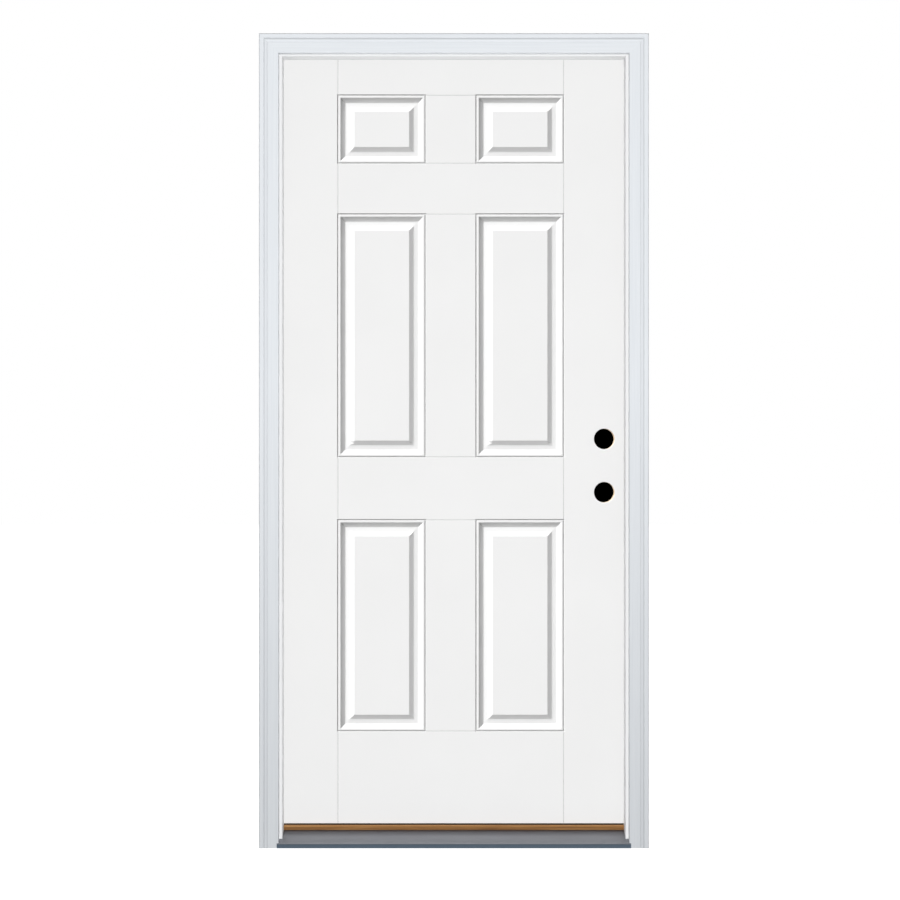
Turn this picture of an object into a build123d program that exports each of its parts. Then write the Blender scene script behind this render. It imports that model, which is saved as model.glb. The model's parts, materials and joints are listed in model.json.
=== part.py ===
from build123d import *
from math import atan, degrees
import os

# A front door hung in its frame, hinged on the left as seen from outside and opening inward.
# Millimetres. X runs to the right as seen from outside, Y from outside to inside, Z is up.
# The origin is on the floor, halfway across the unit, in the plane of the wall's outside face.

# Door slab
slab_width = 908.05
slab_height = 2006.6
slab_thickness = 44.45
slab_lift = 50.8
edge_gap = 3.175
skin_thickness = 2.4
stile_width = 40.0
top_rail_height = 38.0
bottom_rail_height = 60.0
lock_block_wall = 20.0
lock_block_reach = 88.9

# Six raised panels, laid out from the top of the slab down
panel_width = 228.6
mullion_width = 133.35
panel_shift = 7.94
top_margin = 101.6
top_panel_height = 177.8
frieze_height = 133.35
middle_panel_height = 635.0
lock_rail_height = 165.1
bottom_margin = 241.3

# Panel moulding: widths run inward from the groove, depths run down from the face
groove_half_width = 1.6
groove_depth = 1.6
ridge_width = 5.0
ridge_drop = 0.2
cove_width = 12.4
cove_depth = 9.8
cove_sag = 0.7
bevel_width = 11.5
bevel_rise = 1.4
rise_width = 12.0
field_drop = 0.4
joint_line_half_width = 0.7
joint_line_depth = 0.6

# Lock preparation
bore_radius = 27.0
bore_backset = 60.325
lower_bore_height = 866.0
bore_spacing = 139.7
edge_bore_radius = 12.7
faceplate_width = 25.4
faceplate_height = 57.15
faceplate_depth = 3.2
strike_width = 28.575
strike_height = 69.85
strike_depth = 2.0
strike_hole_radius = 13.5
plate_corner_radius = 6.35

# Jambs
jamb_depth = 115.9
jamb_thickness = 31.75
rabbet_depth = 12.7
jamb_edge_ease = 1.5
seal_gap = 9.5
kerf_width = 3.0
kerf_depth = 9.0

# Brickmould
brickmould_width = 50.8
brickmould_thickness = 31.75
reveal = 7.94
head_reveal = 4.5
band_width = 12.0
bead_width = 10.0
bead_height = 2.6
quirk_width = 1.2
quirk_depth = 0.8
flat_drop = 3.2
brickmould_edge_radius = 3.0

# Compression seals and corner pads
seal_leg_thickness = 1.4
seal_leg_length = 8.0
seal_barb_height = 1.2
bulb_clearance = 0.5
bulb_corner_ease = 2.5
pad_thickness = 0.9
pad_depth = 30.0
pad_height = 50.0

# Sill and adjustable cap
nose_height = 12.0
lip_height = 2.0
deck_thickness = 1.8
nosing_thickness = 4.0
rib_count = 11
rib_width = 1.6
rib_height = 0.6
sweep_space = 4.8
cap_show = 11.0
cap_width = 42.0
cap_height = 15.5
cap_front_radius = 4.0
cap_back_radius = 2.0
cap_clearance = 0.4
channel_depth = 5.5
tail_drop = 9.0
tail_lip = 6.0
adjuster_radius = 4.5
adjuster_recess = 1.5
adjuster_slot_width = 1.2
adjuster_slot_depth = 1.5
adjuster_place_shares = (-0.36, 0.0, 0.36)

# Door sweep
sweep_base_thickness = 1.6
sweep_inset = 2.0
sweep_kerf_offset = 11.0
fin_thickness = 1.2
fin_place_shares = (-0.42, -0.21, 0.0, 0.21, 0.42)

# Hinges
hinge_height = 101.6
leaf_reach = 50.8
leaf_thickness = 2.4
leaf_corner_radius = 15.875
hinge_backset = 6.35
upper_hinge_drop = 228.6
lower_hinge_rise = 330.2
knuckle_count = 3
knuckle_radius = 6.0
knuckle_gap = 0.4
knuckle_clearance = 0.5
pin_radius = 3.2
pin_head_radius = 5.2
pin_head_height = 3.0
pin_tip = 1.5

# Clearances
moving_clearance = 0.3
pin_clearance = 0.05

# Places that follow from the sizes
half_slab = slab_width / 2
slab_front = jamb_depth - slab_thickness
slab_middle = jamb_depth - slab_thickness / 2
slab_top = slab_lift + slab_height
rabbet_x = half_slab + edge_gap
stop_x = rabbet_x - rabbet_depth
outer_x = stop_x + jamb_thickness
stop_back = slab_front - seal_gap
head_rabbet_z = slab_top + edge_gap
head_stop_z = head_rabbet_z - rabbet_depth
head_top = head_stop_z + jamb_thickness
cap_top = slab_lift - sweep_space
cap_bottom = cap_top - cap_height
channel_floor = cap_bottom - channel_depth
deck_back_height = cap_top - cap_show
tail_height = cap_top - tail_drop
sill_front = -brickmould_thickness
cap_front = stop_back + cap_clearance
cap_back = cap_front + cap_width
wall_front = stop_back - deck_thickness
channel_back = cap_back + cap_clearance
deck_slope = (deck_back_height - nose_height) / (wall_front - sill_front)
bore_x = half_slab - bore_backset
bore_heights = (slab_lift + lower_bore_height, slab_lift + lower_bore_height + bore_spacing)
pin_x = -half_slab - edge_gap / 2
pin_y = slab_front + hinge_backset + leaf_reach
upper_hinge_z = slab_top - upper_hinge_drop
lower_hinge_z = slab_lift + lower_hinge_rise
hinge_places = {
    "upper": upper_hinge_z,
    "middle": (upper_hinge_z + lower_hinge_z) / 2,
    "lower": lower_hinge_z,
}

# Flat profiles of pieces that run across the unit are drawn with Z as their first direction
across = Plane(origin=(0, 0, 0), x_dir=(0, 0, 1), z_dir=(-1, 0, 0))


def span_box(x_range, y_range, z_range):
    """A box between two limits along each direction."""
    low = [limits[0] for limits in (x_range, y_range, z_range)]
    size = [limits[1] - limits[0] for limits in (x_range, y_range, z_range)]
    corner = (Align.MIN, Align.MIN, Align.MIN)
    return Pos(*low) * Box(*size, align=corner)


def span_rectangle(x_range, y_range):
    """A flat rectangle between two limits along each direction."""
    corner = (Align.MIN, Align.MIN)
    size = (x_range[1] - x_range[0], y_range[1] - y_range[0])
    return Pos(x_range[0], y_range[0]) * Rectangle(*size, align=corner)


def rod_along_x(x_range, y, z, radius):
    """A cylinder along X."""
    low_end = (Align.CENTER, Align.CENTER, Align.MIN)
    length = x_range[1] - x_range[0]
    return Pos(x_range[0], y, z) * Rot(0, 90, 0) * Cylinder(radius, length, align=low_end)


def rod_along_y(x, y_range, z, radius):
    """A cylinder along Y."""
    low_end = (Align.CENTER, Align.CENTER, Align.MIN)
    length = y_range[1] - y_range[0]
    return Pos(x, y_range[0], z) * Rot(-90, 0, 0) * Cylinder(radius, length, align=low_end)


def rod_along_z(x, y, z_range, radius):
    """A cylinder along Z."""
    low_end = (Align.CENTER, Align.CENTER, Align.MIN)
    return Pos(x, y, z_range[0]) * Cylinder(radius, z_range[1] - z_range[0], align=low_end)


def rounded_plate(x_range, y, z, width, height):
    """A plate facing X with rounded corners, centred on a height."""
    outline = Plane.YZ * RectangleRounded(width, height, plate_corner_radius)
    return Pos(x_range[0], y, z) * extrude(outline, amount=x_range[1] - x_range[0])


# Moulded skins


ridge_end = groove_half_width + ridge_width
cove_end = ridge_end + cove_width
bevel_end = cove_end + bevel_width
moulding_width = bevel_end + rise_width


def moulding_face():
    """The line across a panel's moulding, as edges: (depth, distance inward)."""
    outer = Polyline(
        (0, -groove_half_width),
        (groove_depth, 0),
        (ridge_drop, groove_half_width),
        (ridge_drop, ridge_end),
    )
    cove_middle = ((ridge_drop + cove_depth) / 2 + cove_sag, (ridge_end + cove_end) / 2)
    cove = ThreePointArc(outer @ 1, cove_middle, (cove_depth, cove_end))
    inner = Polyline(
        (cove_depth, cove_end),
        (cove_depth - bevel_rise, bevel_end),
        (field_drop, moulding_width),
    )
    return [*outer.edges(), cove, *inner.edges()]


def moulding_back(depth):
    """The simpler line at the back of the moulding, as edges."""
    line = Polyline(
        (depth, -groove_half_width),
        (depth, ridge_end),
        (cove_depth + depth, cove_end),
        (cove_depth - bevel_rise + depth, bevel_end),
        (field_drop + depth, moulding_width),
    )
    return line.edges()


def mitred_ring(face, width, height):
    """A moulding face run round a rectangle with mitred corners."""
    start = (0, 0, -height / 2)
    path = Polyline(
        start,
        (width / 2, 0, -height / 2),
        (width / 2, 0, height / 2),
        (-width / 2, 0, height / 2),
        (-width / 2, 0, -height / 2),
        start,
    )
    placed = Plane.YZ * Pos(0, -height / 2) * face
    return sweep(placed, path=Wire(path.edges()), transition=Transition.RIGHT)


def panel_field(width, height, depths):
    """The flat middle of a panel between two depths."""
    half_field = width / 2 - moulding_width
    half_field_height = height / 2 - moulding_width
    return span_box((-half_field, half_field), depths, (-half_field_height, half_field_height))


def skin_moulding(width, height):
    """The moulded ring and raised field of one panel, as thick as the skin."""
    ends = [
        Line((0, -groove_half_width), (skin_thickness, -groove_half_width)),
        Line((field_drop, moulding_width), (field_drop + skin_thickness, moulding_width)),
    ]
    outline = make_face([*moulding_face(), *moulding_back(skin_thickness), *ends])
    ring = mitred_ring(outline, width, height)
    return ring + panel_field(width, height, (field_drop, field_drop + skin_thickness))


def core_relief(width, height):
    """The hollow that one panel presses into the core."""
    closing = Polyline((field_drop, moulding_width), (0, moulding_width), (0, ridge_end))
    line = moulding_back(0).sort_by(Axis.Y)[1:]
    ring = mitred_ring(make_face([*line, *closing.edges()]), width, height)
    return ring + panel_field(width, height, (0, field_drop))


panel_columns = [
    side * (mullion_width + panel_width) / 2 - panel_shift
    for side in (-1, 1)
]
top_panel_top = slab_top - top_margin
middle_panel_top = top_panel_top - top_panel_height - frieze_height
bottom_panel_top = middle_panel_top - middle_panel_height - lock_rail_height
bottom_panel_height = bottom_panel_top - bottom_margin - slab_lift
panel_rows = [
    (top_panel_top, top_panel_height),
    (middle_panel_top, middle_panel_height),
    (bottom_panel_top, bottom_panel_height),
]


def at_panels(make_piece):
    """One piece in each of the six panels."""
    pieces = []
    for row_top, height in panel_rows:
        piece = make_piece(panel_width, height)
        for column in panel_columns:
            pieces.append(Pos(column, 0, row_top - height / 2) * piece)
    return pieces


def panel_opening(width, height):
    """The hole that a panel's moulding fills in the flat skin."""
    reach = width / 2 + groove_half_width
    reach_height = height / 2 + groove_half_width
    return span_box((-reach, reach), (0, skin_thickness), (-reach_height, reach_height))


def joint_lines():
    """Shallow grooves where stiles, rails and mullion would meet."""
    outline = make_face(Polyline(
        (-joint_line_half_width, 0),
        (joint_line_half_width, 0),
        (0, joint_line_depth),
        close=True,
    ))
    upright = extrude(outline, amount=slab_height)
    stile_lines = [
        Pos(panel_columns[0] - panel_width / 2, 0, slab_lift) * upright,
        Pos(panel_columns[1] + panel_width / 2, 0, slab_lift) * upright,
    ]
    level = extrude(across * outline, amount=mullion_width)
    rail_lines = [
        Pos(panel_columns[1] - panel_width / 2, 0, height) * level
        for row_top, panel_height in panel_rows
        for height in (row_top, row_top - panel_height)
    ]
    return stile_lines + rail_lines


def lock_bores(y_range):
    """The two holes for the lock and the deadbolt."""
    return [rod_along_y(bore_x, y_range, height, bore_radius) for height in bore_heights]


def moulded_skin():
    """The outside skin with its face at Y = 0."""
    sheet = span_box((-half_slab, half_slab), (0, skin_thickness), (slab_lift, slab_top))
    sheet -= at_panels(panel_opening)
    sheet += at_panels(skin_moulding)
    sheet -= joint_lines()
    return sheet - lock_bores((0, skin_thickness))


# Hinges


def hinge_leaf_plate():
    """A leaf on the door's side of the pin, at the pin's origin, before its knuckles."""
    outline = span_rectangle((-leaf_reach, 0), (-hinge_height / 2, hinge_height / 2))
    far_corners = outline.vertices().group_by(Axis.X)[0]
    outline = fillet(far_corners, leaf_corner_radius)
    plate = extrude(Plane.YZ * outline, amount=leaf_thickness)
    return Pos(edge_gap / 2, 0, 0) * plate


def knuckle_spans(first, gap):
    """Heights of every second knuckle of the barrel, starting from the one named."""
    pitch = hinge_height / knuckle_count
    lows = [-hinge_height / 2 + index * pitch for index in range(first, knuckle_count, 2)]
    return [(low + gap, low + pitch - gap) for low in lows]


def hinge_leaf(plate, first):
    """A leaf with its knuckles and pin hole, notched round the other leaf's knuckles."""
    half_gap = knuckle_gap / 2
    room = knuckle_radius + knuckle_clearance
    notches = [span_box((-room, room), (-room, 0), span) for span in knuckle_spans(1 - first, -half_gap)]
    leaf = plate - notches
    leaf += [rod_along_z(0, 0, span, knuckle_radius) for span in knuckle_spans(first, half_gap)]
    half_height = hinge_height / 2
    hole = rod_along_z(0, 0, (-half_height, half_height), pin_radius + pin_clearance)
    return leaf - hole


def hinge_pin():
    """A pin with a flat head that rests on the barrel."""
    high = hinge_height / 2
    shaft = rod_along_z(0, 0, (-high - pin_tip, high), pin_radius)
    return shaft + rod_along_z(0, 0, (high, high + pin_head_height), pin_head_radius)


door_leaf_plate = hinge_leaf_plate()
frame_leaf_plate = mirror(door_leaf_plate, about=Plane.YZ)
door_leaf = hinge_leaf(door_leaf_plate, 1)
frame_leaf = hinge_leaf(frame_leaf_plate, 0)
pin = hinge_pin()
hinge_spots = {name: Pos(pin_x, pin_y, height) for name, height in hinge_places.items()}


def at_hinges(piece):
    """One piece of a hinge repeated at every hinge."""
    return [spot * piece for spot in hinge_spots.values()]


# Door slab

slab_core_y = (slab_front + skin_thickness, jamb_depth - skin_thickness)
slab_y = (slab_front, jamb_depth)
inner_x = half_slab - stile_width
bottom_rail_top = slab_lift + bottom_rail_height
top_rail_bottom = slab_top - top_rail_height
block_inner_x = bore_x - bore_radius - lock_block_wall
block_z = (bore_heights[0] - lock_block_reach, bore_heights[1] + lock_block_reach)


def sweep_kerfs():
    """The two saw cuts along the slab's bottom edge."""
    return [
        span_box(
            (-half_slab, half_slab),
            (slab_middle + offset - kerf_width / 2, slab_middle + offset + kerf_width / 2),
            (slab_lift, slab_lift + kerf_depth),
        )
        for offset in (-sweep_kerf_offset, sweep_kerf_offset)
    ]


def edge_bores():
    """Latch holes from the lock edge into the lock bores, with faceplate recesses."""
    cuts = []
    for height in bore_heights:
        cuts.append(rod_along_x((bore_x, half_slab), slab_middle, height, edge_bore_radius))
        recess_x = (half_slab - faceplate_depth, half_slab)
        cuts.append(rounded_plate(recess_x, slab_middle, height, faceplate_width, faceplate_height))
    return cuts


def door_sweep():
    """A strip with fins below and barbed legs that grip the saw cuts."""
    half_width = slab_thickness / 2 - sweep_inset
    base_low = slab_lift - sweep_base_thickness
    fin_low = cap_top + moving_clearance
    outline = span_rectangle((-half_width, half_width), (base_low, slab_lift))
    for share in fin_place_shares:
        fin = (share * slab_thickness - fin_thickness / 2, share * slab_thickness + fin_thickness / 2)
        outline += span_rectangle(fin, (fin_low, base_low))
    for offset in (-sweep_kerf_offset, sweep_kerf_offset):
        leg = (offset - seal_leg_thickness / 2, offset + seal_leg_thickness / 2)
        barb = (offset - kerf_width / 2, offset + kerf_width / 2)
        leg_top = slab_lift + seal_leg_length
        outline += span_rectangle(leg, (slab_lift, leg_top))
        outline += span_rectangle(barb, (leg_top - seal_barb_height, leg_top))
        barb_low = slab_lift + (seal_leg_length - seal_barb_height) / 2
        outline += span_rectangle(barb, (barb_low, barb_low + seal_barb_height))
    strip = extrude(Plane.YZ * outline, amount=slab_width)
    return Pos(-half_slab, slab_middle, 0) * strip


skin = moulded_skin()
door_leaf_recesses = at_hinges(door_leaf_plate)
exterior_skin = Pos(0, slab_front, 0) * skin
interior_skin = Pos(0, jamb_depth, 0) * mirror(skin, about=Plane.XZ) - door_leaf_recesses
hinge_stile = span_box((-half_slab, -inner_x), slab_core_y, (slab_lift, slab_top))
hinge_stile = hinge_stile - door_leaf_recesses - sweep_kerfs()
lock_stile = span_box((inner_x, half_slab), slab_core_y, (slab_lift, slab_top))
lock_stile = lock_stile - lock_bores(slab_y) - edge_bores() - sweep_kerfs()
lock_block = span_box((block_inner_x, inner_x), slab_core_y, block_z)
foam_core = span_box((-inner_x, inner_x), slab_core_y, (bottom_rail_top, top_rail_bottom)) - lock_block
outside_reliefs = at_panels(core_relief)
inside_reliefs = [mirror(relief, about=Plane.XZ) for relief in outside_reliefs]
foam_core -= [Pos(0, slab_core_y[0], 0) * relief for relief in outside_reliefs]
foam_core -= [Pos(0, slab_core_y[1], 0) * relief for relief in inside_reliefs]
lock_block -= lock_bores(slab_y)
top_rail = span_box((-inner_x, inner_x), slab_core_y, (top_rail_bottom, slab_top))
bottom_rail = span_box((-inner_x, inner_x), slab_core_y, (slab_lift, bottom_rail_top)) - sweep_kerfs()


# Jambs


def jamb_profile(stop):
    """Section of a jamb before its kerf: (outward, inward), with its stop face at a place."""
    rabbet = stop + rabbet_depth
    back = stop + jamb_thickness
    outline = make_face(Polyline(
        (stop, 0),
        (back, 0),
        (back, jamb_depth),
        (rabbet, jamb_depth),
        (rabbet, stop_back),
        (stop, stop_back),
        close=True,
    ))
    by_place = outline.vertices().sort_by_distance((stop, stop_back / 2))
    room_corner = outline.vertices().sort_by_distance((rabbet, jamb_depth))[0]
    return chamfer([by_place[0], by_place[1], room_corner], jamb_edge_ease)


def kerf_profile(stop):
    """The saw cut that holds a jamb's seal."""
    rabbet = stop + rabbet_depth
    return span_rectangle((rabbet - kerf_width, rabbet), (stop_back - kerf_depth, stop_back))


def seal_profile(stop):
    """A foam bulb with a barbed leg that grips the kerf."""
    rabbet = stop + rabbet_depth
    middle = rabbet - kerf_width / 2
    leg = (middle - seal_leg_thickness / 2, middle + seal_leg_thickness / 2)
    barb = (rabbet - kerf_width, rabbet)
    leg_end = stop_back - seal_leg_length
    bulb_depth = seal_gap - moving_clearance
    bulb_middle = stop + (rabbet_depth - bulb_clearance) / 2
    bulb = Pos(bulb_middle, stop_back + bulb_depth / 2) * Rectangle(rabbet_depth - bulb_clearance, bulb_depth)
    outline = chamfer(bulb.vertices().group_by(Axis.Y)[-1], bulb_corner_ease)
    outline += span_rectangle(leg, (leg_end, stop_back))
    outline += span_rectangle(barb, (leg_end, leg_end + seal_barb_height))
    barb_low = stop_back - (seal_leg_length + seal_barb_height) / 2
    outline += span_rectangle(barb, (barb_low, barb_low + seal_barb_height))
    return outline


def strike_cuts():
    """Strike plate recesses in the jamb, and the bolt holes through it."""
    cuts = []
    for height in bore_heights:
        recess_x = (rabbet_x, rabbet_x + strike_depth)
        cuts.append(rounded_plate(recess_x, slab_middle, height, strike_width, strike_height))
        cuts.append(rod_along_x((rabbet_x, outer_x), slab_middle, height, strike_hole_radius))
    return cuts


strike_blank = extrude(jamb_profile(stop_x), amount=head_top)
hinge_blank = mirror(strike_blank, about=Plane.YZ)
kerf = extrude(kerf_profile(stop_x), amount=head_top)
strike_jamb = strike_blank - kerf - strike_cuts()
hinge_jamb = hinge_blank - mirror(kerf, about=Plane.YZ) - at_hinges(frame_leaf_plate)
head_jamb = extrude(across * jamb_profile(head_stop_z), amount=outer_x, both=True)
head_jamb -= extrude(across * kerf_profile(head_stop_z), amount=outer_x, both=True)
head_jamb = head_jamb - strike_blank - hinge_blank


# Brickmould


def brickmould_profile(inner):
    """Section of the brickmould: (outward, inward), from its inner edge."""
    outer = inner + brickmould_width
    face = -brickmould_thickness
    flat = face + flat_drop
    band_start = outer - band_width
    bead_end = band_start - quirk_width
    bead_start = bead_end - bead_width
    flat_end = bead_start - quirk_width
    bead_base = flat + quirk_depth
    bead = ThreePointArc(
        (bead_start, bead_base),
        ((bead_start + bead_end) / 2, bead_base - quirk_depth - bead_height),
        (bead_end, bead_base),
    )
    inner_part = Polyline((bead_end, bead_base), (band_start, bead_base), (band_start, face), (outer, face))
    outer_part = Polyline((outer, face), (outer, 0), (inner, 0), (inner, flat), (flat_end, flat))
    closing = Polyline((flat_end, flat), (flat_end, bead_base), (bead_start, bead_base))
    edges = inner_part.edges() + outer_part.edges() + closing.edges()
    outline = make_face([bead, *edges])
    soft_corners = [
        outline.vertices().sort_by_distance(corner)[0]
        for corner in ((outer, face), (inner, flat))
    ]
    return fillet(soft_corners, brickmould_edge_radius)


brickmould_inner = stop_x + reveal
brickmould_outer = brickmould_inner + brickmould_width
brickmould_head_z = head_stop_z + head_reveal
brickmould_top = brickmould_head_z + brickmould_width
front_room = brickmould_thickness
leg_outline = make_face(Polyline(
    (brickmould_inner, 0),
    (brickmould_outer, 0),
    (brickmould_outer, brickmould_top),
    (brickmould_inner, brickmould_head_z),
    close=True,
))
head_outline = make_face(Polyline(
    (-brickmould_outer, brickmould_top),
    (-brickmould_inner, brickmould_head_z),
    (brickmould_inner, brickmould_head_z),
    (brickmould_outer, brickmould_top),
    close=True,
))
strike_leg = extrude(brickmould_profile(brickmould_inner), amount=brickmould_top)
strike_leg &= extrude(Plane.XZ * leg_outline, amount=front_room)
hinge_leg = mirror(strike_leg, about=Plane.YZ)
brickmould_head = extrude(across * brickmould_profile(brickmould_head_z), amount=brickmould_outer, both=True)
brickmould_head &= extrude(Plane.XZ * head_outline, amount=front_room)


# Seals and pads

strike_seal = extrude(seal_profile(stop_x), amount=head_rabbet_z - cap_top - moving_clearance)
strike_seal = Pos(0, 0, cap_top + moving_clearance) * strike_seal
hinge_seal = mirror(strike_seal, about=Plane.YZ)
head_seal = extrude(across * seal_profile(head_stop_z), amount=stop_x, both=True)
strike_pad = span_box(
    (rabbet_x - pad_thickness, rabbet_x),
    (slab_front, slab_front + pad_depth),
    (cap_top + moving_clearance, cap_top + moving_clearance + pad_height),
)
hinge_pad = mirror(strike_pad, about=Plane.YZ)


# Sill


def deck_underside(y):
    """Height of the deck's underside in front of the cap."""
    return nose_height - deck_thickness + deck_slope * (y - sill_front)


def deck_profile():
    """Sloped tread with ribs, cap channel and inner tail: (inward, up)."""
    floor_low = channel_floor - deck_thickness
    tail_low = tail_height - deck_thickness
    outline = make_face(Polyline(
        (sill_front, nose_height),
        (wall_front, deck_back_height),
        (wall_front, deck_back_height - deck_thickness),
        (sill_front, nose_height - deck_thickness),
        close=True,
    ))
    lip_low = nose_height - lip_height
    outline += span_rectangle((sill_front, sill_front + deck_thickness), (lip_low, nose_height))
    outline += span_rectangle((wall_front, stop_back), (floor_low, deck_back_height))
    outline += span_rectangle((wall_front, channel_back), (floor_low, channel_floor))
    outline += span_rectangle((channel_back, channel_back + deck_thickness), (floor_low, tail_height))
    outline += span_rectangle((channel_back, jamb_depth), (tail_low, tail_height))
    tail_end = tail_height - tail_lip
    outline += span_rectangle((jamb_depth - deck_thickness, jamb_depth), (tail_end, tail_height))
    tread = Line((sill_front, nose_height), (wall_front, deck_back_height))
    rib = Rectangle(rib_width, 2 * rib_height)
    tilt = Rot(0, 0, degrees(atan(deck_slope)))
    for index in range(rib_count):
        place = tread @ ((index + 1) / (rib_count + 1))
        outline += Pos(place.X, place.Y) * tilt * rib
    return outline


def nosing_profile():
    """Strip behind the deck's front lip: (inward, up)."""
    front = sill_front + deck_thickness
    back = front + nosing_thickness
    return make_face(Polyline(
        (front, 0),
        (back, 0),
        (back, deck_underside(back)),
        (front, deck_underside(front)),
        close=True,
    ))


def substrate_profile():
    """Solid base under the deck: (inward, up)."""
    front = sill_front + deck_thickness + nosing_thickness
    floor_low = channel_floor - deck_thickness
    tail_low = tail_height - deck_thickness
    tail_start = channel_back + deck_thickness
    return make_face(Polyline(
        (front, 0),
        (jamb_depth, 0),
        (jamb_depth, tail_height - tail_lip),
        (jamb_depth - deck_thickness, tail_height - tail_lip),
        (jamb_depth - deck_thickness, tail_low),
        (tail_start, tail_low),
        (tail_start, floor_low),
        (wall_front, floor_low),
        (wall_front, deck_underside(wall_front)),
        (front, deck_underside(front)),
        close=True,
    ))


def run_between_jambs(profile):
    """A sill piece cut round the jambs and the brickmould."""
    piece = extrude(Plane.YZ * profile, amount=rabbet_x, both=True)
    return piece - strike_blank - hinge_blank - strike_leg - hinge_leg


def cap_adjuster(x):
    """A slotted stud that stands in the channel and carries the cap."""
    y = (cap_front + cap_back) / 2
    top = cap_top - adjuster_recess
    stud = rod_along_z(x, y, (channel_floor, top), adjuster_radius)
    slot_x = (x - adjuster_radius, x + adjuster_radius)
    slot_y = (y - adjuster_slot_width / 2, y + adjuster_slot_width / 2)
    return stud - span_box(slot_x, slot_y, (top - adjuster_slot_depth, top))


def oak_cap():
    """The cap with rounded upper edges and a hole over each adjuster."""
    outline = span_rectangle((cap_front, cap_back), (cap_bottom, cap_top))
    upper = outline.vertices().group_by(Axis.Y)[-1].sort_by(Axis.X)
    front_place = (cap_front, cap_top)
    outline = fillet(upper[-1], cap_back_radius)
    front_corner = outline.vertices().sort_by_distance(front_place)[0]
    outline = fillet(front_corner, cap_front_radius)
    cap = extrude(Plane.YZ * outline, amount=rabbet_x - cap_clearance, both=True)
    y = (cap_front + cap_back) / 2
    hole_radius = adjuster_radius + pin_clearance
    return cap - [rod_along_z(x, y, (cap_bottom, cap_top), hole_radius) for x in adjuster_places]


adjuster_places = [share * slab_width for share in adjuster_place_shares]
sill_substrate = run_between_jambs(substrate_profile())
sill_deck = run_between_jambs(deck_profile())
sill_nosing = run_between_jambs(nosing_profile())
adjusters = [cap_adjuster(x) for x in adjuster_places]


# One file for each node

nodes = {
    "exterior_skin": exterior_skin,
    "interior_skin": interior_skin,
    "hinge_stile": hinge_stile,
    "lock_stile": lock_stile,
    "lock_block": lock_block,
    "top_rail": top_rail,
    "bottom_rail": bottom_rail,
    "foam_core": foam_core,
    "door_sweep": door_sweep(),
    "hinge_jamb": hinge_jamb,
    "strike_jamb": strike_jamb,
    "head_jamb": head_jamb,
    "brickmould_hinge_leg": hinge_leg,
    "brickmould_strike_leg": strike_leg,
    "brickmould_head": brickmould_head,
    "hinge_side_seal": hinge_seal,
    "strike_side_seal": strike_seal,
    "head_seal": head_seal,
    "hinge_corner_pad": hinge_pad,
    "strike_corner_pad": strike_pad,
    "sill_substrate": sill_substrate,
    "sill_deck": sill_deck,
    "sill_nosing": sill_nosing,
    "sill_cap": oak_cap(),
}
for name, spot in hinge_spots.items():
    nodes[f"door_leaf_{name}"] = spot * door_leaf
    nodes[f"frame_leaf_{name}"] = spot * frame_leaf
    nodes[f"hinge_pin_{name}"] = spot * pin
for number, adjuster in enumerate(adjusters, start=1):
    nodes[f"cap_adjuster_{number}"] = adjuster

os.makedirs("parts", exist_ok=True)
for name, shape in nodes.items():
    export_step(shape, f"parts/{name}.step")
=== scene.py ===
import json
import math

import bmesh
import bpy
from mathutils import Matrix, Vector


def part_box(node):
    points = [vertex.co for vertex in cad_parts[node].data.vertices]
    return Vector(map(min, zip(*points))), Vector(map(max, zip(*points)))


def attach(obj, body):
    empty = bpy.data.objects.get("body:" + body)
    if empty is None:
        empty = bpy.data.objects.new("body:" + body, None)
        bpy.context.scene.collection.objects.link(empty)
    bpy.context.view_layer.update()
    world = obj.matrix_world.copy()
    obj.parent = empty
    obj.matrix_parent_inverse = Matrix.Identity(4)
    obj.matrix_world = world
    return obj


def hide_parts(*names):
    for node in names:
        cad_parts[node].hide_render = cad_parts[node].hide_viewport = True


# A white front door in its frame, seen straight on from outside against white.
# Metres. X runs to the right as seen from outside, Y from outside to inside, Z is up.

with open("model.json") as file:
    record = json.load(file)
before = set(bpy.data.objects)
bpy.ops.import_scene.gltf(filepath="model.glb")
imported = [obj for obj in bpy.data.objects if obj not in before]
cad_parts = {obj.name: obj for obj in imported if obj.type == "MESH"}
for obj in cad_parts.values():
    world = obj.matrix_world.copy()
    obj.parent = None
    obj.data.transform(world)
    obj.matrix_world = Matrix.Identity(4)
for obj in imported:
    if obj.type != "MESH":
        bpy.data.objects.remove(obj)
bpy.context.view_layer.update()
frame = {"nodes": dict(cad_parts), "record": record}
nodes = frame["nodes"]

# Camera: level and straight on, at the distance where the sill and head foreshorten as in the photograph
camera_distance = 7.0
camera_height = 1.0275
camera_side = -0.0101
camera_lens = 108.57

# Light
key_turn = math.radians(47)
key_rise = math.radians(33)
key_strength = 4.27
front_turn = math.radians(14)
front_rise = math.radians(-18)
front_strength = 1.25
rear_turn = math.radians(140)
rear_rise = math.radians(30)
rear_strength = 3.4
back_turn = math.radians(148)
back_rise = math.radians(16)
back_strength = 1.25
back_softness = math.radians(40)
top_strength = 0.9
top_softness = math.radians(50)
ambient_level = 0.26
floor_bounce = 0.12
floor_glow = 0.72
floor_shade = 0.28
floor_reach = 60.0
floor_drop = 0.0005
card_distance = 37.0

# Six raised panels
panel_width = 0.2286
mullion_width = 0.13335
panel_shift = 0.00794
top_margin = 0.1016
top_panel_height = 0.1778
frieze_height = 0.13335
middle_panel_height = 0.635
lock_rail_height = 0.1651
bottom_margin = 0.2413

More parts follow.
